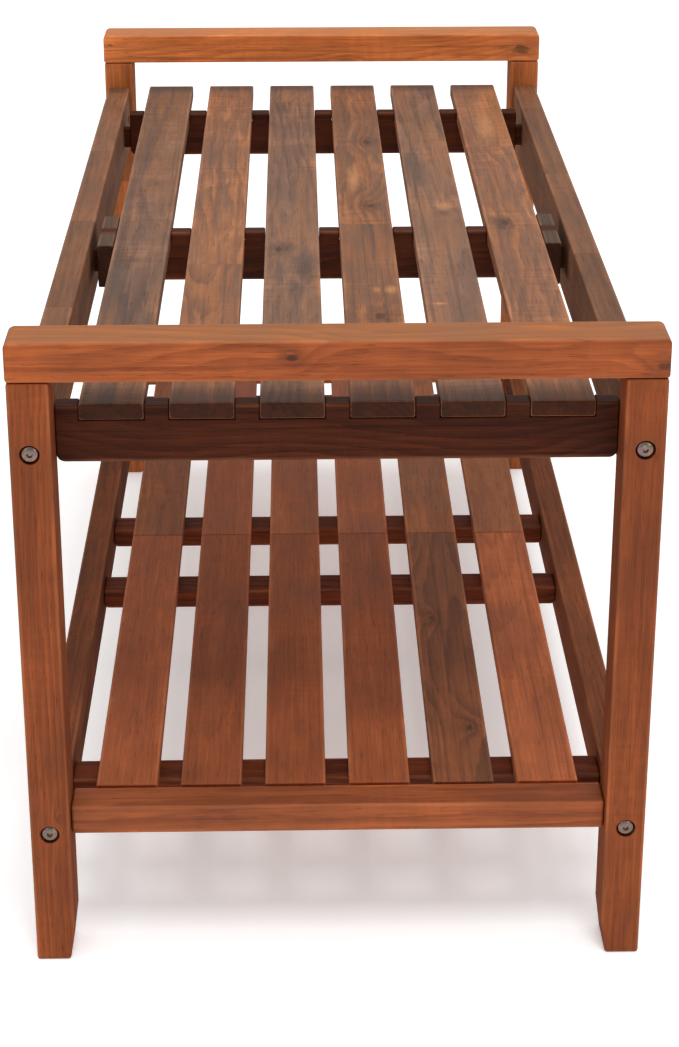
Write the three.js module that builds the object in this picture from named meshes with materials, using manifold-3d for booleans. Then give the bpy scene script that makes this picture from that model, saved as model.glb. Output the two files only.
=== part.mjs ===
// Entryway bench: a slatted seat over a slatted shoe shelf, held between two end frames.
// Millimetres, +Z up. X runs across the bench, Y along it. The origin is on the floor, under the middle.
import * as THREE from 'three';
import { mergeVertices } from 'three/addons/utils/BufferGeometryUtils.js';
import Module from 'manifold-3d';

// Overall size.
const WIDTH = 450;
const LENGTH = 900;
const HEIGHT = 494;
const FIT_GAP = 0.3;

// End frames: two legs, a handle rail over them and a lower rail between them.
const LEG_WIDTH = 29;
const FRAME_DEPTH = 35;
const LEG_INSET = 0.5;
const FOOT_TAPER = 4;
const FOOT_TAPER_HEIGHT = 30;
const HANDLE_HEIGHT = 29.5;
const HANDLE_CORNER_RADIUS = 5;
const END_RAIL_HEIGHT = 22.5;
const END_RAIL_DEPTH = 27.5;
const END_RAIL_TOP = 127;
const TENON_WIDTH = 15;
const LEG_TENON_LENGTH = 16;
const END_RAIL_TENON_LENGTH = 10;
const TENON_ROOT = 1;

// Side rails between the frames.
const RAIL_THICKNESS = 22;
const RAIL_OUTER_HALF = 221.5;
const UPPER_RAIL_HEIGHT = 59;
const LOWER_RAIL_HEIGHT = 42;

// Seat: full-length slats let into three notched cross bars.
const SEAT_TOP = 439;
const SLAT_COUNT = 6;
const SLAT_WIDTH = 45;
const SLAT_THICKNESS = 12.5;
const SLAT_PITCH = 62.5;
const SEAT_SLAT_FRONT_Y = -424;
const SEAT_SLAT_BACK_Y = 420;
const SEAT_BAR_THICKNESS = 14;
const SEAT_BAR_HEIGHT = 42.5;
const SEAT_BAR_DROP = 1.5;
const SEAT_BAR_SPACING = 371;
const SEAT_BAR_CORNER_RADIUS = 6;
const SEAT_BAR_HALF_LENGTH = 193;
const SEAT_BAR_TENON = { thickness: 8, height: 20, reach: 205, z: 412 };
const GLUE_BLOCK = { x: 13.5, y: 32, z: 37 };

// Shelf: two panels of half-length slats, each on two flat cross bars.
const SHELF_TOP = 128.5;
const SHELF_BAR_DEPTH = 27.5;
const SHELF_BAR_HEIGHT = 17;
const SHELF_BARS_Y = { near_outer: -374, near_inner: -70, far_inner: 50, far_outer: 345 };
const SHELF_BAR_CORNER_RADIUS = 4;

// Knock-down fittings: a button-head bolt through each leg and a barrel nut inside each rail end.
const BOLT_HEAD = { radius: 6.6, height: 3, rim: 0.8 };
const BOLT_RADIUS = 3;
const BOLT_REACH = 44;
const UPPER_BOLT_Z = 412;
const LOWER_BOLT_Z = 109;
const BOLT_HOLE_RADIUS = 3.4;
const SOCKET = { acrossFlats: 4, depth: 2 };
const COUNTERBORE = { radius: 7.2, depth: 3.5 };
const BARREL_NUT = { radius: 5, length: 16, inset: 1.5, fromRailEnd: 30 };

const FRAME_INNER_Y = LENGTH / 2 - FRAME_DEPTH;
const FRAME_CENTRE_Y = LENGTH / 2 - FRAME_DEPTH / 2;
const LEG_TOP = HEIGHT - HANDLE_HEIGHT;
const LEG_CENTRE_X = WIDTH / 2 - LEG_INSET - LEG_WIDTH / 2;
const LEG_INNER_X = LEG_CENTRE_X - LEG_WIDTH / 2;
const RAIL_INNER_X = RAIL_OUTER_HALF - RAIL_THICKNESS;
const RAIL_CENTRE_X = RAIL_OUTER_HALF - RAIL_THICKNESS / 2;
const RAIL_HALF_LENGTH = FRAME_INNER_Y - FIT_GAP;
const SEAT_BAR_CENTRE_Y = SEAT_SLAT_FRONT_Y + SEAT_BAR_THICKNESS / 2;
const MIDDLE_SEAT_BAR_Y = SEAT_BAR_CENTRE_Y + SEAT_BAR_SPACING;
const FAR_SEAT_BAR_Y = MIDDLE_SEAT_BAR_Y + SEAT_BAR_SPACING;
const CIRCLE_STEPS = 18;

const wasm = await Module();
wasm.setup();

const wood = {
  frame: new THREE.MeshStandardMaterial({ color: 0xa4623c, roughness: 0.5, metalness: 0 }),
  seat: new THREE.MeshStandardMaterial({ color: 0x86583c, roughness: 0.5, metalness: 0 }),
  shelf: new THREE.MeshStandardMaterial({ color: 0x8a4a30, roughness: 0.52, metalness: 0 }),
  underframe: new THREE.MeshStandardMaterial({ color: 0x6b3a22, roughness: 0.58, metalness: 0 }),
};
const zinc = new THREE.MeshStandardMaterial({ color: 0xb9aa8c, roughness: 0.3, metalness: 0.9 });

const bench = new THREE.Group();

/** Adds one named piece to the bench. */
function addPiece(name, geometry, material) {
  const mesh = new THREE.Mesh(geometry, material);
  mesh.name = name;
  bench.add(mesh);
}

/** Turns a closed geometry into a solid that can be joined and cut. */
function toSolid(geometry) {
  const bare = geometry.index ? geometry.toNonIndexed() : geometry.clone();
  bare.deleteAttribute('normal');
  bare.deleteAttribute('uv');
  const merged = mergeVertices(bare, 1e-4);
  return new wasm.Manifold(new wasm.Mesh({
    numProp: 3,
    vertProperties: new Float32Array(merged.attributes.position.array),
    triVerts: new Uint32Array(merged.index.array),
  }));
}

/** Turns a solid back into a geometry. */
function toGeometry(solid) {
  const mesh = solid.getMesh();
  const geometry = new THREE.BufferGeometry();
  geometry.setAttribute('position', new THREE.BufferAttribute(mesh.vertProperties, 3));
  geometry.setIndex(new THREE.BufferAttribute(mesh.triVerts, 1));
  geometry.computeVertexNormals();
  return geometry;
}

/** Joins the added geometries to the base one, then cuts the cutters out of it. */
function shape(base, { joined = [], cut = [] }) {
  let solid = toSolid(base);
  for (const extra of joined) {
    solid = solid.add(toSolid(extra));
  }
  for (const cutter of cut) {
    solid = solid.subtract(toSolid(cutter));
  }
  return toGeometry(solid);
}

/** A box given by its size and its centre. */
function box(sizeX, sizeY, sizeZ, x, y, z) {
  return new THREE.BoxGeometry(sizeX, sizeY, sizeZ).translate(x, y, z);
}

/** A cylinder along Y, given by its centre. */
function rodAlongY(radius, length, x, y, z, sides = CIRCLE_STEPS) {
  return new THREE.CylinderGeometry(radius, radius, length, sides).translate(x, y, z);
}

/** A cylinder along X, given by its centre. */
function rodAlongX(radius, length, x, y, z) {
  return new THREE.CylinderGeometry(radius, radius, length, CIRCLE_STEPS)
    .rotateZ(Math.PI / 2)
    .translate(x, y, z);
}

/** Extrudes an outline drawn in X and Z along Y, centred on the given y. */
function extrudeAlongY(outline, depth, y) {
  return new THREE.ExtrudeGeometry(outline, { depth, bevelEnabled: false, curveSegments: 5 })
    .rotateX(Math.PI / 2)
    .translate(0, y + depth / 2, 0);
}

/** The tenon on a leg's top, or the mortise for it when grown by the fit gap. Its root is in the leg. */
function legTenon(sideX, frameY, grow) {
  const height = TENON_ROOT + LEG_TENON_LENGTH + grow;
  return box(
    TENON_WIDTH + 2 * grow,
    FRAME_DEPTH / 2 + 2 * grow,
    height,
    sideX * LEG_CENTRE_X,
    frameY,
    LEG_TOP - TENON_ROOT + height / 2,
  );
}

/** The tenon on an end rail, or the mortise for it when grown by the fit gap. Its root is in the rail. */
function endRailTenon(sideX, railY, grow) {
  const length = TENON_ROOT + END_RAIL_TENON_LENGTH + grow;
  return box(
    length,
    TENON_WIDTH + 2 * grow,
    END_RAIL_HEIGHT / 2 + 2 * grow,
    sideX * (LEG_INNER_X - TENON_ROOT + length / 2),
    railY,
    END_RAIL_TOP - END_RAIL_HEIGHT / 2,
  );
}

/** The lower end rail sits flush with the inner faces of its legs. */
function endRailY(end) {
  return end * (FRAME_INNER_Y + END_RAIL_DEPTH / 2);
}

/** A straight leg with its inner foot corner tapered away. */
function makeLeg(sideX, end) {
  const outer = sideX * (LEG_CENTRE_X + LEG_WIDTH / 2);
  const inner = sideX * LEG_INNER_X;
  const outline = new THREE.Shape();
  outline.moveTo(outer, 0);
  outline.lineTo(inner + sideX * FOOT_TAPER, 0);
  outline.lineTo(inner, FOOT_TAPER_HEIGHT);
  outline.lineTo(inner, LEG_TOP);
  outline.lineTo(outer, LEG_TOP);
  const frameY = end * FRAME_CENTRE_Y;
  const faceY = end * LENGTH / 2;
  const cut = [endRailTenon(sideX, endRailY(end), FIT_GAP)];
  for (const boltZ of [UPPER_BOLT_Z, LOWER_BOLT_Z]) {
    cut.push(rodAlongY(BOLT_HOLE_RADIUS, 2 * FRAME_DEPTH, sideX * RAIL_CENTRE_X, frameY, boltZ));
    cut.push(rodAlongY(COUNTERBORE.radius, 2 * COUNTERBORE.depth, sideX * RAIL_CENTRE_X, faceY, boltZ));
  }
  const body = extrudeAlongY(outline, FRAME_DEPTH, frameY);
  return shape(body, { joined: [legTenon(sideX, frameY, 0)], cut });
}

/** The handle rail over a pair of legs, with rounded top corners and a mortise for each leg. */
function makeHandle(end) {
  const half = WIDTH / 2;
  const bottom = LEG_TOP + FIT_GAP;
  const corner = HANDLE_CORNER_RADIUS;
  const outline = new THREE.Shape();
  outline.moveTo(-half, bottom);
  outline.lineTo(half, bottom);
  outline.lineTo(half, HEIGHT - corner);
  outline.absarc(half - corner, HEIGHT - corner, corner, 0, Math.PI / 2, false);
  outline.lineTo(corner - half, HEIGHT);
  outline.absarc(corner - half, HEIGHT - corner, corner, Math.PI / 2, Math.PI, false);
  const frameY = end * FRAME_CENTRE_Y;
  const cut = [legTenon(-1, frameY, FIT_GAP), legTenon(1, frameY, FIT_GAP)];
  return shape(extrudeAlongY(outline, FRAME_DEPTH, frameY), { cut });
}

/** The lower end rail, with a tenon into each leg. */
function makeEndRail(end) {
  const railY = endRailY(end);
  const body = box(
    2 * (LEG_INNER_X - FIT_GAP),
    END_RAIL_DEPTH,
    END_RAIL_HEIGHT,
    0,
    railY,
    END_RAIL_TOP - END_RAIL_HEIGHT / 2,
  );
  return shape(body, { joined: [endRailTenon(-1, railY, 0), endRailTenon(1, railY, 0)] });
}

/** The tenons on both ends of a seat bar, or the mortises for them when grown by the fit gap. */
function seatBarTenons(y, grow) {
  const { thickness, height, reach, z } = SEAT_BAR_TENON;
  return box(2 * (reach + grow), thickness + 2 * grow, height + 2 * grow, 0, y, z);
}

/** A side rail with a bolt hole in each end, a cross hole for each barrel nut and any further cuts. */
function makeSideRail(sideX, top, height, boltZ, cut = []) {
  const centreX = sideX * RAIL_CENTRE_X;
  const holes = [...cut];
  for (const end of [-1, 1]) {
    const holeDepth = BOLT_REACH - COUNTERBORE.depth;
    const nutY = end * (FRAME_INNER_Y - BARREL_NUT.fromRailEnd);
    const nutHoleLength = 2 * (BARREL_NUT.length + BARREL_NUT.inset + FIT_GAP);
    holes.push(rodAlongY(BOLT_HOLE_RADIUS, 2 * holeDepth, centreX, end * FRAME_INNER_Y, boltZ));
    holes.push(rodAlongX(BARREL_NUT.radius + FIT_GAP, nutHoleLength, sideX * RAIL_INNER_X, nutY, boltZ));
  }
  const body = box(RAIL_THICKNESS, 2 * RAIL_HALF_LENGTH, height, centreX, 0, top - height / 2);
  return shape(body, { cut: holes });
}

/** The x of a slat's centre line, counted from the left. */
function slatX(index) {
  return (index - (SLAT_COUNT - 1) / 2) * SLAT_PITCH;
}

/** A seat cross bar on edge: six notches in its top and two rounded bottom corners. */
function makeSeatBar(halfLength, y) {
  const top = SEAT_TOP - SEAT_BAR_DROP;
  const bottom = top - SEAT_BAR_HEIGHT;
  const floor = SEAT_TOP - SLAT_THICKNESS - FIT_GAP;
  const corner = SEAT_BAR_CORNER_RADIUS;
  const notchHalf = SLAT_WIDTH / 2 + FIT_GAP;
  const outline = new THREE.Shape();
  outline.moveTo(-halfLength, top);
  outline.lineTo(-halfLength, bottom + corner);
  outline.absarc(corner - halfLength, bottom + corner, corner, Math.PI, 1.5 * Math.PI, false);
  outline.lineTo(halfLength - corner, bottom);
  outline.absarc(halfLength - corner, bottom + corner, corner, 1.5 * Math.PI, 2 * Math.PI, false);
  outline.lineTo(halfLength, top);
  for (let index = SLAT_COUNT - 1; index >= 0; index -= 1) {
    outline.lineTo(slatX(index) + notchHalf, top);
    outline.lineTo(slatX(index) + notchHalf, floor);
    outline.lineTo(slatX(index) - notchHalf, floor);
    outline.lineTo(slatX(index) - notchHalf, top);
  }
  return extrudeAlongY(outline, SEAT_BAR_THICKNESS, y);
}

/** A flat shelf cross bar with rounded bottom corners. */
function makeShelfBar(y) {
  const half = RAIL_INNER_X - FIT_GAP;
  const top = SHELF_TOP - SLAT_THICKNESS - FIT_GAP;
  const bottom = top - SHELF_BAR_HEIGHT;
  const corner = SHELF_BAR_CORNER_RADIUS;
  const outline = new THREE.Shape();
  outline.moveTo(-half, top);
  outline.lineTo(-half, bottom + corner);
  outline.absarc(corner - half, bottom + corner, corner, Math.PI, 1.5 * Math.PI, false);
  outline.lineTo(half - corner, bottom);
  outline.absarc(half - corner, bottom + corner, corner, 1.5 * Math.PI, 2 * Math.PI, false);
  outline.lineTo(half, top);
  return extrudeAlongY(outline, SHELF_BAR_DEPTH, y);
}

/** A slat from one y to another, with its top face at the given height. */
function makeSlat(x, fromY, toY, top) {
  return box(SLAT_WIDTH, toY - fromY, SLAT_THICKNESS, x, (fromY + toY) / 2, top - SLAT_THICKNESS / 2);
}

/** A button-head bolt with a hex socket, its head in the counterbore and its shank along Y. */
function makeBolt(sideX, end, z) {
  const { radius, height, rim } = BOLT_HEAD;
  const tip = FIT_GAP - BOLT_REACH;
  const profile = [
    new THREE.Vector2(0, tip),
    new THREE.Vector2(BOLT_RADIUS - 1, tip),
    new THREE.Vector2(BOLT_RADIUS, tip + 1),
    new THREE.Vector2(BOLT_RADIUS, 0),
    new THREE.Vector2(radius, 0),
    new THREE.Vector2(radius, rim),
    new THREE.Vector2(0.8 * radius, 0.75 * height),
    new THREE.Vector2(0.5 * radius, height),
    new THREE.Vector2(0, height),
  ];
  const body = new THREE.LatheGeometry(profile, CIRCLE_STEPS);
  const socketRadius = SOCKET.acrossFlats / Math.sqrt(3);
  const socket = rodAlongY(socketRadius, 2 * SOCKET.depth, 0, height, 0, 6);
  const seatY = end * (LENGTH / 2 - COUNTERBORE.depth + FIT_GAP);
  return shape(body, { cut: [socket] })
    .rotateZ(end < 0 ? Math.PI : 0)
    .translate(sideX * RAIL_CENTRE_X, seatY, z);
}

/** A barrel nut lying across its rail, with the bolt passing through it. */
function makeBarrelNut(sideX, end, z) {
  const x = sideX * (RAIL_INNER_X + BARREL_NUT.inset + BARREL_NUT.length / 2);
  const y = end * (FRAME_INNER_Y - BARREL_NUT.fromRailEnd);
  const body = rodAlongX(BARREL_NUT.radius, BARREL_NUT.length, x, y, z);
  const boltHole = rodAlongY(BOLT_HOLE_RADIUS, 4 * BARREL_NUT.radius, sideX * RAIL_CENTRE_X, y, z);
  return shape(body, { cut: [boltHole] });
}

const ends = { near: -1, far: 1 };
const sides = { left: -1, right: 1 };

for (const [endName, end] of Object.entries(ends)) {
  addPiece(`handle_rail_${endName}`, makeHandle(end), wood.frame);
  addPiece(`lower_end_rail_${endName}`, makeEndRail(end), wood.frame);
  for (const [sideName, sideX] of Object.entries(sides)) {
    const place = `${endName}_${sideName}`;
    addPiece(`leg_${place}`, makeLeg(sideX, end), wood.frame);
    for (const [level, boltZ] of [['upper', UPPER_BOLT_Z], ['lower', LOWER_BOLT_Z]]) {
      addPiece(`frame_bolt_${level}_${place}`, makeBolt(sideX, end, boltZ), zinc);
      addPiece(`barrel_nut_${level}_${place}`, makeBarrelNut(sideX, end, boltZ), zinc);
    }
  }
}

const tenonedBars = { middle: MIDDLE_SEAT_BAR_Y, far: FAR_SEAT_BAR_Y };
const seatBarMortises = Object.values(tenonedBars).map((y) => seatBarTenons(y, FIT_GAP));
for (const [sideName, sideX] of Object.entries(sides)) {
  const upper = makeSideRail(sideX, SEAT_TOP, UPPER_RAIL_HEIGHT, UPPER_BOLT_Z, seatBarMortises);
  const lower = makeSideRail(sideX, SHELF_TOP, LOWER_RAIL_HEIGHT, LOWER_BOLT_Z);
  addPiece(`upper_side_rail_${sideName}`, upper, wood.frame);
  addPiece(`lower_side_rail_${sideName}`, lower, wood.frame);
}

// The near seat bar fits between the legs. The other two have tenons that enter the side rails.
addPiece('seat_bar_near', makeSeatBar(LEG_INNER_X - FIT_GAP, SEAT_BAR_CENTRE_Y), wood.underframe);
for (const [name, y] of Object.entries(tenonedBars)) {
  const bar = makeSeatBar(SEAT_BAR_HALF_LENGTH, y);
  addPiece(`seat_bar_${name}`, shape(bar, { joined: [seatBarTenons(y, 0)] }), wood.underframe);
}

// Glue blocks stiffen both ends of the middle seat bar, one on each side of it.
const glueBlockOffset = SEAT_BAR_THICKNESS / 2 + FIT_GAP + GLUE_BLOCK.y / 2;
for (const [sideName, sideX] of Object.entries(sides)) {
  for (const [endName, end] of Object.entries(ends)) {
    const block = box(
      GLUE_BLOCK.x,
      GLUE_BLOCK.y,
      GLUE_BLOCK.z,
      sideX * (SEAT_BAR_HALF_LENGTH - GLUE_BLOCK.x / 2),
      MIDDLE_SEAT_BAR_Y + end * glueBlockOffset,
      SEAT_TOP - SEAT_BAR_DROP - GLUE_BLOCK.z / 2,
    );
    addPiece(`glue_block_${sideName}_${endName}`, block, wood.underframe);
  }
}

for (let index = 0; index < SLAT_COUNT; index += 1) {
  const x = slatX(index);
  const shelfEnd = FRAME_INNER_Y - FIT_GAP;
  const seamHalf = FIT_GAP / 2;
  addPiece(`seat_slat_${index + 1}`, makeSlat(x, SEAT_SLAT_FRONT_Y, SEAT_SLAT_BACK_Y, SEAT_TOP), wood.seat);
  addPiece(`shelf_slat_near_${index + 1}`, makeSlat(x, -shelfEnd, -seamHalf, SHELF_TOP), wood.shelf);
  addPiece(`shelf_slat_far_${index + 1}`, makeSlat(x, seamHalf, shelfEnd, SHELF_TOP), wood.shelf);
}

for (const [name, y] of Object.entries(SHELF_BARS_Y)) {
  addPiece(`shelf_bar_${name}`, makeShelfBar(y), wood.underframe);
}

export default bench;
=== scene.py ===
"""Entryway bench: the looks of a slatted seat over a slatted shoe shelf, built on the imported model."""
import math
import random

import bmesh
import bpy
from mathutils import Matrix, Vector


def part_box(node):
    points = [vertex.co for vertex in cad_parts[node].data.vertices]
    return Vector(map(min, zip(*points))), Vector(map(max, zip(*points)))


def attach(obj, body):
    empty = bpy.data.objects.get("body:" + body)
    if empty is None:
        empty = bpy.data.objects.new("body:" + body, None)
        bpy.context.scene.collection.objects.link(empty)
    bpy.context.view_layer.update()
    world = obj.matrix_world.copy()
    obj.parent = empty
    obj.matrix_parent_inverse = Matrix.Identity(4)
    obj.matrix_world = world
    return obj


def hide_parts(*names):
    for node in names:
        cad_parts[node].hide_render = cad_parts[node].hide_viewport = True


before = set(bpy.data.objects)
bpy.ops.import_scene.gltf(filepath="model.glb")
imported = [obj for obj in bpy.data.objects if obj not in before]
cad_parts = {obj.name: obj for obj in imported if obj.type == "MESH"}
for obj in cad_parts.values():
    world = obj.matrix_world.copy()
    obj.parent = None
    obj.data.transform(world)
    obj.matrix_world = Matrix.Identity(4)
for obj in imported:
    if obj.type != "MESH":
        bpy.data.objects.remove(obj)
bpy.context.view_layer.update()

MM = 0.001

# The floor is a faintly lit white panel, as in a product studio.
FLOOR_GLOW = 0.3

# Rounding of the long edges, in metres.
FRAME_ARRIS = 2.2 * MM
SLAT_ARRIS = 1.4 * MM
BAR_ARRIS = 1.2 * MM
ARRIS_SEGMENTS = 3
SHARP_ANGLE = math.radians(35)

# The sides of the boards are left as sawn, so they are rougher than the planed tops.
SAWN_ROUGHNESS = 0.92

# Colours that every board shares.
KNOT_BROWN = (0.028, 0.013, 0.008, 1)
STAIN_GREY = (0.062, 0.044, 0.036, 1)
CURLY_GOLD = (0.52, 0.235, 0.085, 1)
# Paler colour painted on upward faces: a painted sheen.
TOP_SHEEN_TAN = (0.34, 0.18, 0.06, 1)
# Paler edge colour: rubbed wear together with a painted highlight.
RUB_AND_HIGHLIGHT_TAN = (0.42, 0.19, 0.09, 1)
END_GRAIN_TINT = (0.52, 0.30, 0.18)

# Bands in the yellow zinc plating.
ZINC_STRAW = (0.24, 0.17, 0.085, 1)
ZINC_PINK = (0.20, 0.115, 0.135, 1)
ZINC_GREEN = (0.13, 0.14, 0.10, 1)

# A knot is this much longer along the grain than wide, and a mark reaches this much deeper into the wood.
KNOT_LENGTH = 1.8
MARK_DEPTH = 5.0

# Heights of the slat tops, where their knots show.
SEAT_Z = 439 * MM
SHELF_Z = 128.5 * MM

# Fasteners, in metres.
HEAD_RADIUS = 6.6 * MM
HEAD_HEIGHT = 3.0 * MM
SOCKET_FLATS = 4.0 * MM
SOCKET_DEPTH = 2.0 * MM
NUT_SLOT_WIDTH = 1.2 * MM
NUT_SLOT_DEPTH = 1.2 * MM
CUT_REACH = 9 * MM


# ---------------------------------------------------------------- camera, floor and light

def make_camera():
    """The view from one short end, a little above the seat."""
    data = bpy.data.cameras.new("camera")
    data.sensor_width = 36
    data.lens = 77.2
    data.shift_y = -0.2
    camera = bpy.data.objects.new("camera", data)
    camera.location = (-0.0275, -1.85, 1.043)
    pitch_down, yaw_right = math.radians(20.72), math.radians(1.157)
    camera.rotation_euler = (math.pi / 2 - pitch_down, 0, -yaw_right)
    bpy.context.scene.collection.objects.link(camera)
    bpy.context.scene.camera = camera


def make_floor():
    """A wide pale floor."""
    mesh = bpy.data.meshes.new("floor")
    half = 30
    corners = [(-half, -half, 0), (half, -half, 0), (half, half, 0), (-half, half, 0)]
    mesh.from_pydata(corners, [], [(0, 1, 2, 3)])
    floor = bpy.data.objects.new("floor", mesh)
    bpy.context.scene.collection.objects.link(floor)
    material = bpy.data.materials.new("pale_floor")
    material.use_nodes = True
    shader = material.node_tree.nodes["Principled BSDF"]
    shader.inputs["Base Color"].default_value = (0.93, 0.93, 0.93, 1)
    shader.inputs["Roughness"].default_value = 0.9
    shader.inputs["Specular IOR Level"].default_value = 0.1
    shader.inputs["Emission Color"].default_value = (1, 1, 1, 1)
    shader.inputs["Emission Strength"].default_value = FLOOR_GLOW
    mesh.materials.append(material)


def make_softbox(name, location, target, size, power, colour=(1, 1, 1)):
    """A square area light aimed at a point."""
    data = bpy.data.lights.new(name, "AREA")
    data.size = size
    data.energy = power
    data.color = colour
    light = bpy.data.objects.new(name, data)
    light.location = location
    aim = Vector(target) - Vector(location)
    light.rotation_euler = aim.to_track_quat("-Z", "Y").to_euler()
    bpy.context.scene.collection.objects.link(light)


def make_studio():
    """A bright even room with a large softbox overhead and fills from the front."""
    scene = bpy.context.scene
    world = bpy.data.worlds.new("studio")
    world.use_nodes = True
    background = world.node_tree.nodes["Background"]
    background.inputs["Color"].default_value = (1, 1, 1, 1)
    background.inputs["Strength"].default_value = 0.75
    scene.world = world
    scene.view_settings.view_transform = "Standard"
    make_softbox("overhead", (0.0, 0.6, 5.0), (0, 0.6, 0), 3.5, 55)
    make_softbox("key", (0.25, -1.55, 2.9), (0, 0, 0.4), 0.9, 34)
    make_softbox("front_right", (1.5, -2.8, 1.0), (0, -0.3, 0.3), 1.0, 5)
    make_softbox("front_left", (-1.5, -2.6, 1.2), (0, -0.3, 0.3), 1.0, 3)


# ---------------------------------------------------------------- node helpers

class Graph:
    """Adds nodes to a tree and links them, so that a formula reads as nested calls."""

    def __init__(self, tree):
        self.tree = tree

    def add(self, kind, **settings):
        node = self.tree.nodes.new(kind)
        for name, value in settings.items():
            setattr(node, name, value)
        return node

    def feed(self, socket, value):
        if isinstance(value, bpy.types.NodeSocket):
            self.tree.links.new(value, socket)
        else:
            socket.default_value = value

    def math(self, operation, *values, clamp=False):
        node = self.add("ShaderNodeMath", operation=operation, use_clamp=clamp)
        for socket, value in zip(node.inputs, values):
            self.feed(socket, value)
        return node.outputs[0]

    def vector(self, operation, *values):
        node = self.add("ShaderNodeVectorMath", operation=operation)
        for socket, value in zip(node.inputs, values):
            self.feed(socket, value)
        scalar = operation in ("LENGTH", "DOT_PRODUCT", "DISTANCE")
        return node.outputs["Value" if scalar else "Vector"]

    def scale(self, vector, factors):
        return self.vector("MULTIPLY", vector, factors)

    def split(self, vector):
        node = self.add("ShaderNodeSeparateXYZ")
        self.feed(node.inputs[0], vector)
        return node.outputs

    def join(self, x, y, z):
        node = self.add("ShaderNodeCombineXYZ")
        for socket, value in zip(node.inputs, (x, y, z)):
            self.feed(socket, value)
        return node.outputs[0]

    def noise(self, vector, scale=1.0, detail=2.0, roughness=0.5, distortion=0.0):
        node = self.add("ShaderNodeTexNoise", noise_dimensions="3D")
        self.feed(node.inputs["Vector"], vector)
        self.feed(node.inputs["Scale"], scale)
        node.inputs["Detail"].default_value = detail
        node.inputs["Roughness"].default_value = roughness
        node.inputs["Distortion"].default_value = distortion
        return node.outputs[0]

    def white(self, value):
        node = self.add("ShaderNodeTexWhiteNoise", noise_dimensions="1D")
        self.feed(node.inputs["W"], value)
        return node.outputs

    def ramp(self, value, low, high, to_low=0.0, to_high=1.0, smooth=True):
        node = self.add("ShaderNodeMapRange")
        node.interpolation_type = "SMOOTHSTEP" if smooth else "LINEAR"
        for socket, number in zip(node.inputs, (value, low, high, to_low, to_high)):
            self.feed(socket, number)
        return node.outputs[0]

    def mix(self, factor, a, b, blend="MIX"):
        node = self.add("ShaderNodeMix", data_type="RGBA", blend_type=blend)
        node.clamp_factor = True
        self.feed(node.inputs[0], factor)
        self.feed(node.inputs[6], a)
        self.feed(node.inputs[7], b)
        return node.outputs[2]

    def tint(self, colour, factor):
        """Multiplies a colour by a number."""
        return self.vector("MULTIPLY", colour, self.join(factor, factor, factor))


def add_input(group, name, kind, default):
    socket = group.interface.new_socket(name, in_out="INPUT", socket_type=kind)
    socket.default_value = default


# ---------------------------------------------------------------- wood

def make_mark_group():
    """A knot or other mark on a board: how strongly it bends the growth rings, and its two masks."""
    group = bpy.data.node_groups.new("mark", "ShaderNodeTree")
    add_input(group, "Local", "NodeSocketVector", (0, 0, 0))
    add_input(group, "Centre", "NodeSocketVector", (0, 0, 0))
    add_input(group, "Stretch", "NodeSocketVector", (1, 0.25, 0.5))
    add_input(group, "Radius", "NodeSocketFloat", 0.006)
    add_input(group, "Strength", "NodeSocketFloat", 1.0)
    for name in ("Bend", "Dark", "Soft"):
        group.interface.new_socket(name, in_out="OUTPUT", socket_type="NodeSocketFloat")
    g = Graph(group)
    source = g.add("NodeGroupInput").outputs
    away = g.vector("SUBTRACT", source["Local"], source["Centre"])
    wobble = g.noise(g.scale(source["Local"], (170, 170, 80)), 1.0, 2.0)
    radii = g.vector("LENGTH", g.vector("MULTIPLY", away, source["Stretch"]))
    radii = g.math("DIVIDE", radii, source["Radius"])
    radii = g.math("ADD", radii, g.math("MULTIPLY", g.math("SUBTRACT", wobble, 0.5), 1.3))
    falloff = g.math("EXPONENT", g.math("MULTIPLY", radii, -0.5))
    heart = g.math("MULTIPLY", g.ramp(radii, 1.2, 0.3), 0.85)
    halo = g.math("MULTIPLY", g.ramp(radii, 2.8, 0.9), 0.35)
    dark = g.math("MULTIPLY", g.math("MAXIMUM", heart, halo), source["Strength"], clamp=True)
    soft = g.math("MULTIPLY", g.ramp(radii, 1.8, 0.2), source["Strength"], clamp=True)
    out = g.add("NodeGroupOutput").inputs
    g.feed(out["Bend"], g.math("MULTIPLY", falloff, 2.4))
    g.feed(out["Dark"], dark)
    g.feed(out["Soft"], soft)
    return group


WOOD_NUMBERS = (
    "Along grain", "Seed", "Rings per metre", "Ring contrast", "Line contrast", "Stave length",
    "Stave contrast", "Streak amount", "Fleck amount", "Ripple", "Painted end shadow", "End grain", "Knot bend",
    "Knot dark", "Stain", "Gold", "Painted top sheen",
)


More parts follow.
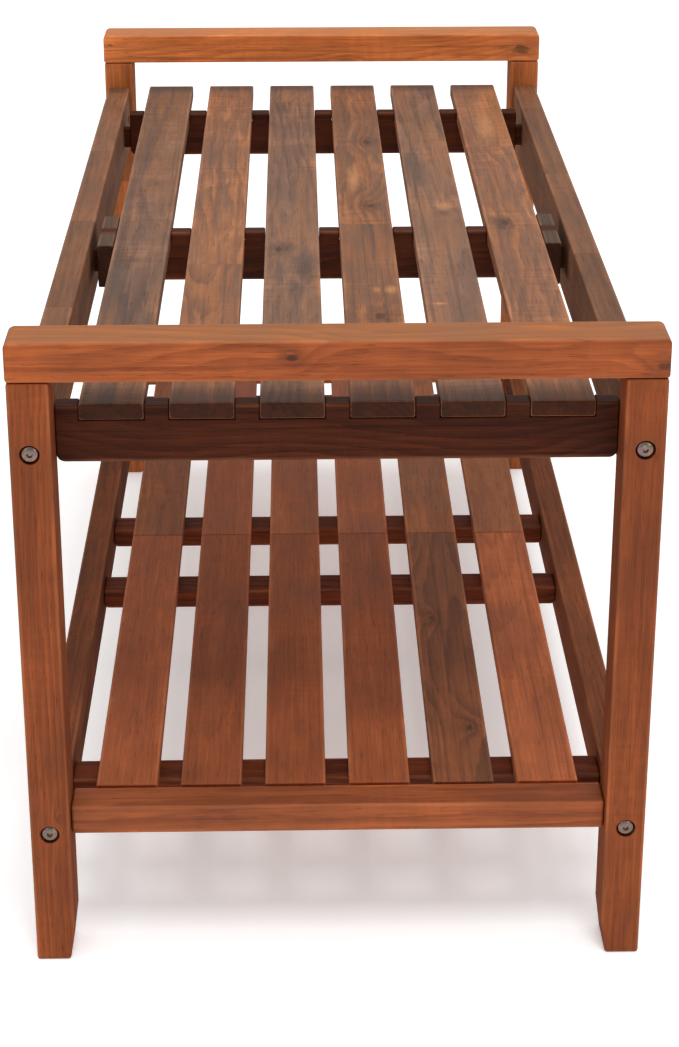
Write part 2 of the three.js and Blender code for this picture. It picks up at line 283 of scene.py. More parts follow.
def make_wood_group():
    """Oiled hardwood, from coordinates whose z runs along the grain of one board."""
    group = bpy.data.node_groups.new("wood", "ShaderNodeTree")
    for name in ("Local", "Half size", "Pith"):
        add_input(group, name, "NodeSocketVector", (0, 0, 0))
    for name in ("Light", "Dark", "Streak"):
        add_input(group, name, "NodeSocketColor", (0.2, 0.2, 0.2, 1))
    for name in WOOD_NUMBERS:
        add_input(group, name, "NodeSocketFloat", 0.0)
    group.interface.new_socket("Colour", in_out="OUTPUT", socket_type="NodeSocketColor")
    for name in ("Roughness", "Height"):
        group.interface.new_socket(name, in_out="OUTPUT", socket_type="NodeSocketFloat")
    g = Graph(group)
    source = g.add("NodeGroupInput").outputs

    # Each glued length of the board is a different piece of timber: its figure and tone jump.
    along = g.split(source["Local"])[2]
    stave_place = g.math("DIVIDE", g.math("ADD", along, source["Seed"]), source["Stave length"])
    stave = g.math("FLOOR", stave_place)
    stave_random = g.white(g.math("ADD", stave, g.math("MULTIPLY", source["Seed"], 7.3)))
    stave_tone = g.math("SUBTRACT", stave_random["Value"], 0.5)
    jump = g.scale(g.vector("SUBTRACT", stave_random["Color"], (0.5, 0.5, 0.5)), (0.05, 0.04, 0.5))
    point = g.vector("ADD", source["Local"], jump)
    seed_offset = g.scale(g.join(source["Seed"], source["Seed"], source["Seed"]), (1.7, 2.9, 0.7))
    seeded = g.vector("ADD", point, seed_offset)

    # Growth rings round a pith that wanders along the board.
    wander = g.noise(g.scale(seeded, (1.5, 1.5, 3.6)), 1.0, 1.5)
    sway = g.noise(g.scale(seeded, (9, 9, 1.9)), 1.0, 1.0)
    drift = g.join(g.math("SUBTRACT", wander, 0.5), g.math("SUBTRACT", sway, 0.5), 0.0)
    drift = g.scale(drift, (0.10, 0.07, 0))
    from_pith = g.vector("ADD", g.vector("ADD", point, source["Pith"]), drift)
    ring_radius = g.vector("LENGTH", g.scale(from_pith, (1, 1, 0)))
    wavy = g.noise(g.scale(seeded, (60, 60, 8)), 1.0, 3.0)
    ring_phase = g.math("MULTIPLY", ring_radius, source["Rings per metre"])
    ring_phase = g.math("ADD", ring_phase, g.math("MULTIPLY", wavy, 1.7))
    ring_phase = g.math("ADD", ring_phase, source["Knot bend"])
    ring_step = g.math("FRACT", ring_phase)
    late_wood = g.math("MULTIPLY", g.ramp(ring_step, 0.1, 0.9), g.ramp(ring_step, 1.0, 0.92))
    ring_strength = g.ramp(g.noise(g.scale(seeded, (14, 14, 2.5)), 1.0, 1.0), 0.3, 0.62, 0.25, 1.0)
    rings = g.math("MULTIPLY", g.math("MULTIPLY", late_wood, ring_strength), source["Ring contrast"])

    # Fibres, long dark lines, pores, streaks, blotches and the faint ripple across the grain.
    fibres = g.noise(g.scale(seeded, (620, 620, 15)), 1.0, 3.0, 0.65)
    lines = g.noise(g.scale(seeded, (210, 210, 3.6)), 1.0, 2.0, 0.6, 0.3)
    pores = g.ramp(g.noise(g.scale(seeded, (1300, 1300, 62)), 1.0, 1.0), 0.62, 0.72)
    streaks = g.noise(g.scale(seeded, (48, 48, 2.9)), 1.0, 3.0, 0.6, 0.8)
    blotches = g.noise(g.scale(seeded, (17, 17, 10)), 1.0, 3.0, 0.6)
    ripple = g.noise(g.scale(seeded, (30, 30, 210)), 1.0, 2.0, 0.5, 0.5)
    ripple_place = g.ramp(blotches, 0.42, 0.62)

    colour = g.mix(rings, source["Light"], source["Dark"])
    streak_mask = g.math("MULTIPLY", g.ramp(streaks, 0.42, 0.58), source["Streak amount"])
    colour = g.mix(streak_mask, colour, source["Streak"])
    flecks = g.noise(g.scale(seeded, (75, 75, 11)), 1.0, 3.0, 0.65, 0.5)
    fleck_mask = g.math("MULTIPLY", g.ramp(flecks, 0.54, 0.68), source["Fleck amount"])
    colour = g.mix(fleck_mask, colour, g.tint(source["Light"], 1.45))
    line_mask = g.math("MULTIPLY", g.ramp(lines, 0.52, 0.72), source["Line contrast"])
    colour = g.mix(line_mask, colour, source["Dark"])
    tone = g.math("ADD", 1.0, g.math("MULTIPLY", stave_tone, source["Stave contrast"]))
    tone = g.math("MULTIPLY", tone, g.ramp(blotches, 0.3, 0.7, 0.78, 1.2, smooth=False))
    tone = g.math("MULTIPLY", tone, g.ramp(fibres, 0.3, 0.7, 0.80, 1.18, smooth=False))
    ripple_tone = g.math("MULTIPLY", g.ramp(ripple, 0.35, 0.65, -1.0, 1.0, smooth=False), source["Ripple"])
    tone = g.math("MULTIPLY", tone, g.math("ADD", 1.0, g.math("MULTIPLY", ripple_tone, ripple_place)))
    tone = g.math("MULTIPLY", tone, g.ramp(pores, 0.0, 1.0, 1.0, 0.62, smooth=False))
    # Painted shadow: the tops of the boards are darkened near their ends, where the handle rails shade the
    # seat slats.
    half_length = g.split(source["Half size"])[2]
    from_end = g.math("SUBTRACT", half_length, g.math("ABSOLUTE", along))
    painted_end_shadow = g.math("MULTIPLY", g.ramp(from_end, 34 * MM, 8 * MM), source["Painted end shadow"])
    painted_end_shadow = g.math("MULTIPLY", painted_end_shadow, g.ramp(source["Along grain"], 0.6, 0.2))
    tone = g.math("MULTIPLY", tone, g.math("SUBTRACT", 1.0, painted_end_shadow))
    colour = g.tint(colour, tone)

    # End grain drinks more oil: it is much darker and warmer.
    end_grain = g.ramp(source["Along grain"], 0.6, 0.95)
    oiled = g.tint(g.vector("MULTIPLY", colour, END_GRAIN_TINT), source["End grain"])
    colour = g.mix(end_grain, colour, oiled)

    # Knots are dark brown, mineral stains blue grey, and patches of curly grain golden.
    grain_shift = g.ramp(fibres, 0.3, 0.7, 0.75, 1.25, smooth=False)
    colour = g.mix(g.math("MULTIPLY", source["Stain"], grain_shift), colour, STAIN_GREY)
    colour = g.mix(g.math("MULTIPLY", source["Gold"], grain_shift), colour, CURLY_GOLD)
    colour = g.mix(source["Knot dark"], colour, KNOT_BROWN)

    # The tops of the handles are painted a little paler: a painted sheen where the top faces catch the
    # light.
    colour = g.mix(source["Painted top sheen"], colour, TOP_SHEEN_TAN)

    # The long edges are a little paler, in patches: partly rubbed wear, partly a painted highlight along
    # the arrises.
    inset = g.vector("SUBTRACT", source["Half size"], g.vector("ABSOLUTE", source["Local"]))
    across, through, _ = g.split(inset)
    edge_gap = g.math("SQRT", g.math("ADD", g.math("POWER", across, 2.0), g.math("POWER", through, 2.0)))
    rub_and_highlight_patches = g.ramp(blotches, 0.35, 0.65, 0.25, 0.75)
    edge_rub_and_highlight = g.math("MULTIPLY", g.ramp(edge_gap, 3.2 * MM, 0.6 * MM), rub_and_highlight_patches)
    edge_rub_and_highlight = g.math("MULTIPLY", edge_rub_and_highlight, 0.6)
    colour = g.mix(edge_rub_and_highlight, colour, g.mix(0.4, g.tint(colour, 2.2), RUB_AND_HIGHLIGHT_TAN))

    # Joint lines between the glued lengths.
    from_joint = g.math("MULTIPLY", g.math("PINGPONG", stave_place, 0.5), source["Stave length"])
    joint_line = g.ramp(from_joint, 0.5 * MM, 0.15 * MM)
    colour = g.tint(colour, g.math("SUBTRACT", 1.0, g.math("MULTIPLY", joint_line, 0.25)))

    roughness = g.ramp(blotches, 0.3, 0.7, 0.44, 0.60, smooth=False)
    roughness = g.math("ADD", roughness, g.math("MULTIPLY", g.math("SUBTRACT", fibres, 0.5), 0.25))
    roughness = g.math("ADD", roughness, g.math("MULTIPLY", end_grain, 0.15), clamp=True)
    height = g.math("ADD", g.math("MULTIPLY", fibres, 0.5), g.math("MULTIPLY", pores, -0.55))
    height = g.math("ADD", height, g.math("MULTIPLY", rings, -0.25))
    height = g.math("ADD", height, g.math("MULTIPLY", ripple, 0.2))
    height = g.math("ADD", height, g.math("MULTIPLY", joint_line, -0.6))
    height = g.math("ADD", height, g.math("MULTIPLY", source["Knot dark"], -0.4))

    out = g.add("NodeGroupOutput").inputs
    g.feed(out["Colour"], colour)
    g.feed(out["Roughness"], roughness)
    g.feed(out["Height"], height)
    return group


# The figure of a board unless its tone says otherwise. Staves of 9 m put hardly any glued joint in a board.
PLAIN_FIGURE = {
    "rings": 0.7,
    "lines": 0.6,
    "streaks": 0.6,
    "flecks": 0.2,
    "ripple": 0.05,
    "stave": 9.0,
    "stave_contrast": 0.2,
    "painted_end_shadow": 0.0,
    "end_grain": 1.0,
    "painted_top_sheen": 0.0,
    "sheen": 0.14,
}


class Tone:
    """The colours and figure that boards of one kind share."""

    def __init__(self, light, dark, streak, **figure):
        self.light = light
        self.dark = dark
        self.streak = streak
        self.figure = {**PLAIN_FIGURE, **figure}

    def tinted(self, *factors):
        """The same wood with its red, green and blue scaled."""
        colours = []
        for colour in (self.light, self.dark, self.streak):
            colours.append([channel * factor for channel, factor in zip(colour, factors)])
        return Tone(*colours, **self.figure)

    def shaded(self, factor):
        """The same wood, lighter or darker."""
        return self.tinted(factor, factor, factor)


HANDLE_TONE = Tone(
    (0.35, 0.084, 0.020), (0.19, 0.041, 0.011), (0.28, 0.061, 0.015),
    # The handle tops carry a painted sheen.
    sheen=0.16, painted_top_sheen=0.3,
)
LEG_TONE = Tone(
    (0.215, 0.050, 0.012), (0.120, 0.027, 0.007), (0.16, 0.036, 0.009),
    rings=0.5, lines=0.35, streaks=0.45, sheen=0.14,
)
END_RAIL_TONE = Tone((0.285, 0.072, 0.020), (0.15, 0.035, 0.011), (0.21, 0.052, 0.016), sheen=0.16)
RAIL_TONE = Tone(
    (0.185, 0.084, 0.044), (0.100, 0.046, 0.028), (0.225, 0.092, 0.042),
    rings=0.45, lines=0.4, stave=0.2, stave_contrast=0.4, sheen=0.08,
)
LOWER_RAIL_TONE = Tone(
    (0.20, 0.058, 0.022), (0.085, 0.027, 0.013), (0.13, 0.044, 0.021),
    stave=0.3, stave_contrast=0.5, sheen=0.04,
)
SEAT_FIGURE = {
    "rings": 0.6,
    "lines": 0.5,
    "flecks": 0.5,
    "ripple": 0.15,
    # The seat slats carry a painted shadow of the handle rails on their tops near the ends.
    "painted_end_shadow": 0.45,
    "end_grain": 0.42,
}
SEAT_ORANGE = Tone(
    (0.305, 0.116, 0.045), (0.11, 0.050, 0.030), (0.175, 0.084, 0.050),
    stave=0.62, stave_contrast=0.12, **SEAT_FIGURE,
)
SEAT_GREY = Tone((0.175, 0.087, 0.052), (0.070, 0.038, 0.027), (0.25, 0.105, 0.046), **SEAT_FIGURE)
SHELF_RED = Tone((0.34, 0.088, 0.028), (0.21, 0.052, 0.018), (0.27, 0.068, 0.022), rings=0.35, lines=0.3)
SHELF_BROWN = Tone((0.22, 0.073, 0.030), (0.090, 0.033, 0.017), (0.28, 0.084, 0.031), rings=0.6)
SHELF_ORANGE = Tone((0.42, 0.115, 0.040), (0.2, 0.052, 0.019), (0.30, 0.080, 0.028), rings=0.45)
BAR_TONE = Tone((0.066, 0.014, 0.004), (0.018, 0.004, 0.002), (0.038, 0.008, 0.003), stave=0.7, sheen=0.07)
SHELF_BAR_TONE = BAR_TONE.shaded(2.4)
BLOCK_TONE = Tone((0.085, 0.045, 0.024), (0.030, 0.017, 0.010), (0.06, 0.03, 0.016), rings=0.9)


def grain_axes(size):
    """The indices of the board's width, thickness and length."""
    order = sorted(range(3), key=lambda axis: size[axis])
    return order[1], order[0], order[2]


def add_marks(g, local, centre, size, axes, marks):
    """Adds the marks of one kind: their bend of the rings, their dark mask and their soft mask.

    A mark is (place in the frame, radius, strength) and, where it isn't a knot, its length over its width.
    """
    wide, thin, long = axes
    bend, dark, soft = 0.0, 0.0, 0.0
    for spot, radius, strength, *length in marks:
        away = Vector(spot) - centre
        into_face = 1 if abs(away[thin]) / size[thin] >= abs(away[wide]) / size[wide] else 0
        stretch = [1.0, 1.0, 1 / (length[0] if length else KNOT_LENGTH)]
        stretch[into_face] = 1 / MARK_DEPTH
        mark = g.add("ShaderNodeGroup", node_tree=MARK_GROUP)
        g.feed(mark.inputs["Local"], local)
        mark.inputs["Centre"].default_value = (away[wide], away[thin], away[long])
        mark.inputs["Stretch"].default_value = stretch
        mark.inputs["Radius"].default_value = radius
        mark.inputs["Strength"].default_value = strength
        bend = g.math("ADD", mark.outputs["Bend"], bend)
        dark = g.math("MAXIMUM", mark.outputs["Dark"], dark)
        soft = g.math("MAXIMUM", mark.outputs["Soft"], soft)
    return bend, dark, soft


def make_wood(name, board_box, tone, seed, knots=(), stains=(), golds=(), axes=None):
    """The material of one board."""
    low, high = board_box
    size = high - low
    centre = (low + high) / 2
    axes = axes or grain_axes(size)
    wide, thin, long = axes
    material = bpy.data.materials.new(f"wood_{name}")
    material.use_nodes = True
    g = Graph(material.node_tree)
    place = g.add("ShaderNodeTexCoord").outputs["Object"]
    offset = g.split(g.vector("SUBTRACT", place, centre))
    local = g.join(offset[wide], offset[thin], offset[long])
    normal = g.split(g.add("ShaderNodeNewGeometry").outputs["True Normal"])
    bend, dark, _ = add_marks(g, local, centre, size, axes, knots)
    _, _, stain = add_marks(g, local, centre, size, axes, stains)
    _, _, gold = add_marks(g, local, centre, size, axes, golds)
    # Painted sheen: faces that look up are painted paler.
    painted_top_sheen = g.ramp(normal[2], 0.6, 0.95, 0.0, tone.figure["painted_top_sheen"])
    rng = random.Random(seed)
    wood = g.add("ShaderNodeGroup", node_tree=WOOD_GROUP)
    g.feed(wood.inputs["Local"], local)
    g.feed(wood.inputs["Along grain"], g.math("ABSOLUTE", normal[long]))
    g.feed(wood.inputs["Knot bend"], bend)
    g.feed(wood.inputs["Knot dark"], dark)
    g.feed(wood.inputs["Stain"], stain)
    g.feed(wood.inputs["Gold"], gold)
    g.feed(wood.inputs["Painted top sheen"], painted_top_sheen)
    settings = {
        "Half size": (size[wide] / 2, size[thin] / 2, size[long] / 2),
        "Seed": rng.uniform(0, 20),
        "Pith": (rng.uniform(-0.03, 0.03), rng.choice((-1, 1)) * rng.uniform(0.03, 0.07), 0),
        "Rings per metre": rng.uniform(120, 190),
        "Ring contrast": tone.figure["rings"],
        "Line contrast": tone.figure["lines"],
        "Stave length": tone.figure["stave"] * rng.uniform(0.9, 1.15),
        "Stave contrast": tone.figure["stave_contrast"],
        "Light": (*tone.light, 1),
        "Dark": (*tone.dark, 1),
        "Streak": (*tone.streak, 1),
        "Streak amount": tone.figure["streaks"],
        "Fleck amount": tone.figure["flecks"],
        "Ripple": tone.figure["ripple"],
        "Painted end shadow": tone.figure["painted_end_shadow"],
        "End grain": tone.figure["end_grain"],
    }
    for key, value in settings.items():
        wood.inputs[key].default_value = value
    shader = material.node_tree.nodes["Principled BSDF"]
    g.feed(shader.inputs["Base Color"], wood.outputs["Colour"])
    sawn_side = g.ramp(g.math("ABSOLUTE", normal[0]), 0.6, 0.95, 0.0, SAWN_ROUGHNESS)
    g.feed(shader.inputs["Roughness"], g.math("MAXIMUM", wood.outputs["Roughness"], sawn_side))
    shader.inputs["Specular IOR Level"].default_value = tone.figure["sheen"]
    bump = g.add("ShaderNodeBump")
    bump.inputs["Strength"].default_value = 0.35
    bump.inputs["Distance"].default_value = 0.25 * MM
    g.feed(bump.inputs["Height"], wood.outputs["Height"])
    g.feed(shader.inputs["Normal"], bump.outputs["Normal"])
    return material


# ---------------------------------------------------------------- metal

def make_zinc():
    """Yellow zinc plating: a straw metal with faint pink and green bands and fine scratches."""
    material = bpy.data.materials.new("zinc_plate")
    material.use_nodes = True
    g = Graph(material.node_tree)
    place = g.add("ShaderNodeTexCoord").outputs["Object"]
    bands = g.noise(g.scale(place, (260, 260, 260)), 1.0, 2.0, 0.5, 0.8)
    scratches = g.noise(g.scale(place, (2600, 400, 2600)), 1.0, 2.0)
    stain = g.noise(g.scale(place, (900, 900, 900)), 1.0, 3.0)
    colour = g.mix(g.ramp(bands, 0.36, 0.5), ZINC_STRAW, ZINC_PINK)
    colour = g.mix(g.ramp(bands, 0.50, 0.62), colour, ZINC_GREEN)
    colour = g.tint(colour, g.ramp(stain, 0.3, 0.7, 0.82, 1.05, smooth=False))
    shader = material.node_tree.nodes["Principled BSDF"]
    g.feed(shader.inputs["Base Color"], colour)
    g.feed(shader.inputs["Roughness"], g.ramp(scratches, 0.3, 0.7, 0.14, 0.26, smooth=False))
    shader.inputs["Metallic"].default_value = 1.0
    bump = g.add("ShaderNodeBump")
    bump.inputs["Strength"].default_value = 0.15
    bump.inputs["Distance"].default_value = 0.05 * MM
    g.feed(bump.inputs["Height"], scratches)
    g.feed(shader.inputs["Normal"], bump.outputs["Normal"])
    return material


# ---------------------------------------------------------------- boards

def near_any(point, spots, reach):
    return any((point - spot).length < reach for spot in spots)


def make_board(node, material, arris, cut_spots=()):
    """A copy of a CAD board with its edges rounded, except round the holes cut in it."""
    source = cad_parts[node]
    mesh = source.data.copy()
    mesh.name = f"{node}_board"
    bm = bmesh.new()
    bm.from_mesh(mesh)
    bmesh.ops.remove_doubles(bm, verts=bm.verts, dist=0.005 * MM)
    bmesh.ops.dissolve_limit(bm, angle_limit=math.radians(0.5), verts=bm.verts, edges=bm.edges)
    bm.edges.ensure_lookup_table()
    rounded = []
    for edge in bm.edges:
        if len(edge.link_faces) != 2 or not edge.is_convex:
            continue
        if edge.calc_face_angle(0) < SHARP_ANGLE:
            continue
        middle = (edge.verts[0].co + edge.verts[1].co) / 2
        if near_any(middle, cut_spots, CUT_REACH):
            continue
        rounded.append(edge)
    bmesh.ops.bevel(
        bm,
        geom=rounded,
        offset=arris,
        offset_type="OFFSET",
        segments=ARRIS_SEGMENTS,
        profile=0.5,
        affect="EDGES",
        clamp_overlap=False,
    )
    for face in bm.faces:
        face.smooth = True
    for edge in bm.edges:
        edge.smooth = len(edge.link_faces) == 2 and edge.calc_face_angle(0) < SHARP_ANGLE
    bm.to_mesh(mesh)
    bm.free()
    mesh.materials.clear()
    mesh.materials.append(material)
    board = bpy.data.objects.new(f"{node}_board", mesh)
    bpy.context.scene.collection.objects.link(board)
    normals = board.modifiers.new("face_normals", "WEIGHTED_NORMAL")
    normals.keep_sharp = True
    normals.weight = 100
    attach(board, "root")
    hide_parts(node)
    return board


def box_centre(node):
    low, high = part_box(node)
    return (low + high) / 2


def side_sign(name):
    return -1 if "left" in name else 1


# ---------------------------------------------------------------- fasteners

def spin_profile(name, profile, steps):
    """A solid of revolution round Z from (radius, height) pairs that start and end on the axis."""
    bm = bmesh.new()
    verts = [bm.verts.new((radius, 0, height)) for radius, height in profile]
    edges = [bm.edges.new(pair) for pair in zip(verts, verts[1:])]
    bmesh.ops.spin(
        bm,
        geom=verts + edges,
        cent=(0, 0, 0),
        axis=(0, 0, 1),
        angle=2 * math.pi,
        steps=steps,
    )
    bmesh.ops.remove_doubles(bm, verts=bm.verts, dist=0.002 * MM)
    bmesh.ops.recalc_face_normals(bm, faces=bm.faces)
    mesh = bpy.data.meshes.new(name)
    bm.to_mesh(mesh)
    bm.free()
    return mesh


def prism(name, sides, radius, length):
    """A prism round Z, centred on the origin, for cutting."""
    bm = bmesh.new()
    bmesh.ops.create_cone(
        bm, cap_ends=True, segments=sides, radius1=radius, radius2=radius, depth=length
    )
    mesh = bpy.data.meshes.new(name)
    bm.to_mesh(mesh)
    bm.free()
    return mesh


def carved(name, mesh, cutter_mesh, cutter_matrix, bevel):
    """The mesh with a cutter taken out of it and its edges softened."""
    scene = bpy.context.scene
    body = bpy.data.objects.new(name, mesh)
    cutter = bpy.data.objects.new(f"{name}_cutter", cutter_mesh)
    cutter.matrix_world = cutter_matrix
    for obj in (body, cutter):
        scene.collection.objects.link(obj)
    cut = body.modifiers.new("cut", "BOOLEAN")
    cut.operation = "DIFFERENCE"
    cut.object = cutter
    cut.solver = "EXACT"
    soften = body.modifiers.new("soften", "BEVEL")
    soften.width = bevel
    soften.segments = 2
    soften.limit_method = "ANGLE"
    soften.angle_limit = SHARP_ANGLE
    bpy.context.view_layer.update()
    result = bpy.data.meshes.new_from_object(body.evaluated_get(bpy.context.evaluated_depsgraph_get()))
    for obj in (body, cutter):
        bpy.data.objects.remove(obj)
    return result


def make_bolt_mesh():
    """A button-head bolt round Z, with its head's underside at z = 0."""
    steps = 7
    low, high = 0.5 * MM, HEAD_HEIGHT
    dome = []
    for step in range(steps + 1):
        turn = math.pi / 2 * step / steps
        radius = 0.42 * HEAD_RADIUS + 0.58 * HEAD_RADIUS * math.cos(turn)
        dome.append((radius, low + (high - low) * math.sin(turn)))
    shank = 3 * MM
    tip = -43.5 * MM
    profile = [(0, tip), (shank - 1 * MM, tip), (shank, tip + 1 * MM), (shank, 0), (HEAD_RADIUS, 0)]
    mesh = spin_profile("bolt_blank", profile + dome + [(0, HEAD_HEIGHT)], 48)
    socket = prism("hex_socket", 6, SOCKET_FLATS / math.sqrt(3), 2 * SOCKET_DEPTH)
    return carved("bolt", mesh, socket, Matrix.Translation((0, 0, HEAD_HEIGHT)), 0.12 * MM)


def make_nut_mesh():
    """A barrel nut round Z, with its slotted end up at z = 0."""
    radius, length, chamfer = 5 * MM, 16 * MM, 0.5 * MM
    profile = [(0, -length), (radius - chamfer, -length), (radius, chamfer - length)]
    profile += [(radius, -chamfer), (radius - chamfer, 0), (0, 0)]
    mesh = spin_profile("nut_blank", profile, 40)
    slot = prism("nut_slot", 4, math.sqrt(0.5), 1)
    turned = Matrix.Rotation(math.pi / 4, 4, "Z")
    sized = Matrix.Diagonal((NUT_SLOT_WIDTH, 4 * radius, 2 * NUT_SLOT_DEPTH, 1))
    return carved("barrel_nut", mesh, slot, sized @ turned, 0.1 * MM)


def place_fastener(node, mesh, matrix, material):
    """Puts a fastener where its CAD node is and lets it stand for it."""
    piece_mesh = mesh.copy()
    piece_mesh.transform(matrix)
    for polygon in piece_mesh.polygons:
        polygon.use_smooth = True
    piece_mesh.materials.append(material)
    piece = bpy.data.objects.new(f"{node}_piece", piece_mesh)
    bpy.context.scene.collection.objects.link(piece)
    normals = piece.modifiers.new("face_normals", "WEIGHTED_NORMAL")
    normals.weight = 60
    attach(piece, "root")
    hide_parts(node)


def make_fasteners(zinc):
    bolt_mesh = make_bolt_mesh()
    nut_mesh = make_nut_mesh()
    for node in sorted(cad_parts):
        low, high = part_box(node)
        middle = (low + high) / 2
        if node.startswith("frame_bolt"):
            end = -1 if "near" in node else 1
            head_back = (high.y if end > 0 else low.y) - end * HEAD_HEIGHT
            turn = Matrix.Rotation(-end * math.pi / 2, 4, "X")
            twist = Matrix.Rotation(random.Random(node).uniform(0, math.pi), 4, "Z")
            place = Matrix.Translation((middle.x, head_back, middle.z))
            place_fastener(node, bolt_mesh, place @ turn @ twist, zinc)
        elif node.startswith("barrel_nut"):
            side = side_sign(node)
            inner = low.x if side > 0 else high.x
            turn = Matrix.Rotation(-side * math.pi / 2, 4, "Y")
            place = Matrix.Translation((inner, middle.y, middle.z))
            place_fastener(node, nut_mesh, place @ turn, zinc)


# ---------------------------------------------------------------- the bench

def cut_spots_of(node):
    """Where the bolt and nut holes of a leg or side rail are, on the faces they open to."""
    low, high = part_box(node)
    spots = []
    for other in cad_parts:
        same_side = ("left" in other) == ("left" in node)
        if not same_side or not other.startswith(("frame_bolt", "barrel_nut")):
            continue
        o_low, o_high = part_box(other)
        middle = (o_low + o_high) / 2
        spots += [Vector((middle.x, y, middle.z)) for y in (low.y, high.y)]
        spots += [Vector((x, middle.y, middle.z)) for x in (low.x, high.x)]
    return spots


FRAME_TONES = {"handle": HANDLE_TONE, "leg": LEG_TONE, "lower": END_RAIL_TONE}
# Painted light: the far end's frame boards are the same woods as the near end's, painted lighter to stand
# in for more light falling on them.
FAR_END_PAINTED_LIGHT = (1.78, 2.15, 2.25)


def make_frame_boards():
    knots = {
        "handle_rail_near": [
            ((-0.031, -0.45, 0.482), 3.4 * MM, 1.0),
            ((0.221, -0.45, 0.474), 4.5 * MM, 0.85),
        ],
        "leg_near_left": [((-0.204, -0.45, 0.122), 1.2 * MM, 0.6)],
        "leg_near_right": [((0.204, -0.45, 0.122), 1.2 * MM, 0.6)],
        "handle_rail_far": [
            ((0.207, 0.415, 0.477), 7 * MM, 0.85),
            ((0.024, 0.415, 0.465), 3.5 * MM, 0.6),
            ((-0.218, 0.415, 0.484), 0.8 * MM, 0.8),
        ],
    }
    for node in sorted(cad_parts):
        if not node.startswith(("handle_rail", "leg_", "lower_end_rail")):
            continue
        seed = f"frame {node}"
        tone = FRAME_TONES[node.split("_")[0]]
        # Painted light on the far end's frame boards.
        if "far" in node:
            tone = tone.tinted(*FAR_END_PAINTED_LIGHT)
        material = make_wood(node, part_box(node), tone, seed, knots.get(node, ()))
        make_board(node, material, FRAME_ARRIS, cut_spots_of(node))


def make_side_rails():
    mortise_ys = [box_centre(node).y for node in ("seat_bar_middle", "seat_bar_far")]
    for node in sorted(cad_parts):
        if "side_rail" not in node:
            continue
        tone = RAIL_TONE if node.startswith("upper") else LOWER_RAIL_TONE
        material = make_wood(node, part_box(node), tone, f"rail {node}")
        low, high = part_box(node)
        inner = high.x if side_sign(node) < 0 else low.x
        spots = cut_spots_of(node)
        for y in mortise_ys:
            spots += [Vector((inner, y, z * MM)) for z in (404, 412, 420)]
        make_board(node, material, FRAME_ARRIS, spots)


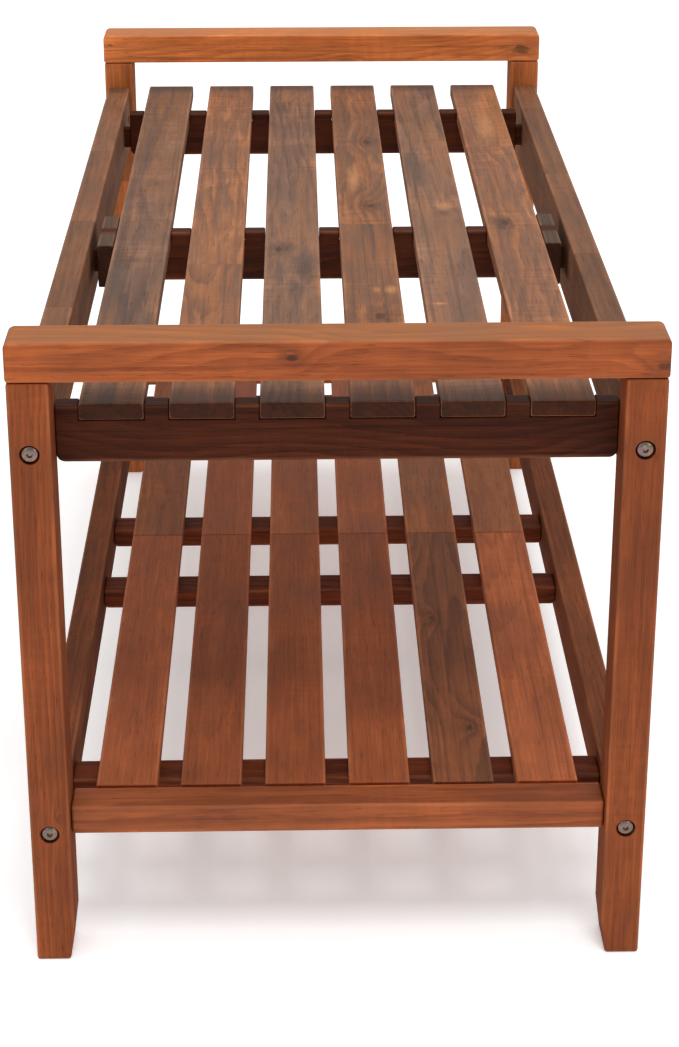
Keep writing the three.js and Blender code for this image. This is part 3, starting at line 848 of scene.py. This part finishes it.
def make_slats():
    seat_tones = [SEAT_GREY.shaded(0.9), SEAT_ORANGE, SEAT_GREY.shaded(1.15)]
    seat_tones += [SEAT_ORANGE.shaded(0.85), SEAT_GREY.shaded(1.15), SEAT_ORANGE.shaded(1.05)]
    seat_knots = {
        1: [((-0.153, 0.082, SEAT_Z), 4 * MM, 0.4)],
        3: [((-0.0425, -0.103, SEAT_Z), 5 * MM, 0.85)],
        4: [
            ((0.040, 0.209, SEAT_Z), 5 * MM, 0.85),
            ((0.036, 0.013, SEAT_Z), 5 * MM, 0.85),
            ((0.035, -0.258, SEAT_Z), 5.5 * MM, 0.85),
        ],
        5: [((0.1, -0.009, SEAT_Z), 5 * MM, 0.5)],
        6: [((0.15, -0.036, SEAT_Z), 5 * MM, 0.7)],
    }
    seat_stains = {
        1: [((-0.172, -0.18, SEAT_Z), 8 * MM, 0.5, 6)],
        3: [
            ((-0.034, -0.095, SEAT_Z), 6 * MM, 0.55, 2.5),
            ((-0.0205, -0.150, SEAT_Z), 8 * MM, 0.75, 4.5),
            ((-0.041, -0.155, SEAT_Z), 3.5 * MM, 0.5, 8),
            ((-0.028, -0.195, SEAT_Z), 6 * MM, 0.55, 3),
            ((-0.043, 0.33, SEAT_Z), 5 * MM, 0.45, 3),
        ],
        5: [((0.078, 0.15, SEAT_Z), 4 * MM, 0.5, 8)],
        6: [((0.147, -0.04, SEAT_Z), 10 * MM, 0.5, 2.5)],
    }
    seat_golds = {
        4: [
            ((0.046, -0.20, SEAT_Z), 4 * MM, 0.6, 2),
            ((0.035, -0.20, SEAT_Z), 2.5 * MM, 0.5, 2),
            ((0.024, 0.095, SEAT_Z), 5 * MM, 0.5, 6),
        ],
        5: [((0.083, -0.232, SEAT_Z), 4.5 * MM, 0.7, 0.5), ((0.101, 0.01, SEAT_Z), 7 * MM, 0.5, 1.2)],
        6: [((0.157, 0.26, SEAT_Z), 7 * MM, 0.5, 5)],
    }
    near_tones = [SHELF_RED.shaded(factor) for factor in (1.05, 0.85, 0.9, 0.92)]
    near_tones += [SHELF_BROWN, SHELF_ORANGE]
    far_tones = [
        SHELF_RED.tinted(0.80, 0.98, 1.1),
        SHELF_RED.shaded(0.95),
        SHELF_RED.tinted(1.1, 1.18, 1.18),
        SHELF_RED.tinted(1.15, 1.25, 1.3),
        SHELF_RED.tinted(0.96, 1.22, 1.35),
        SHELF_RED.tinted(0.95, 1.25, 1.5),
    ]
    near_knots = {5: [((0.104, -0.339, SHELF_Z), 4 * MM, 0.8), ((0.085, -0.163, SHELF_Z), 4 * MM, 0.7)]}
    rows = [
        ("seat_slat", seat_tones, (seat_knots, seat_stains, seat_golds), "seat_wood"),
        ("shelf_slat_near", near_tones, (near_knots,), "shelf_wood"),
        ("shelf_slat_far", far_tones, (), "shelf_wood"),
    ]
    for prefix, tones, kinds_of_mark, slot in rows:
        for index, tone in enumerate(tones, start=1):
            node = f"{prefix}_{index}"
            marks = [places.get(index, ()) for places in kinds_of_mark]
            material = make_wood(node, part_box(node), tone, f"slat {node}", *marks)
            make_board(node, material, SLAT_ARRIS)


def make_bars():
    for node in sorted(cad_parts):
        if node.startswith(("seat_bar", "shelf_bar")):
            tone = BAR_TONE if node.startswith("seat") else SHELF_BAR_TONE
            material = make_wood(node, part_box(node), tone, f"bar {node}")
            make_board(node, material, BAR_ARRIS)
        elif node.startswith("glue_block"):
            material = make_wood(node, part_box(node), BLOCK_TONE, f"block {node}", axes=(2, 0, 1))
            make_board(node, material, BAR_ARRIS)


make_camera()
make_floor()
make_studio()
MARK_GROUP = make_mark_group()
WOOD_GROUP = make_wood_group()
make_frame_boards()
make_side_rails()
make_slats()
make_bars()
make_fasteners(make_zinc())
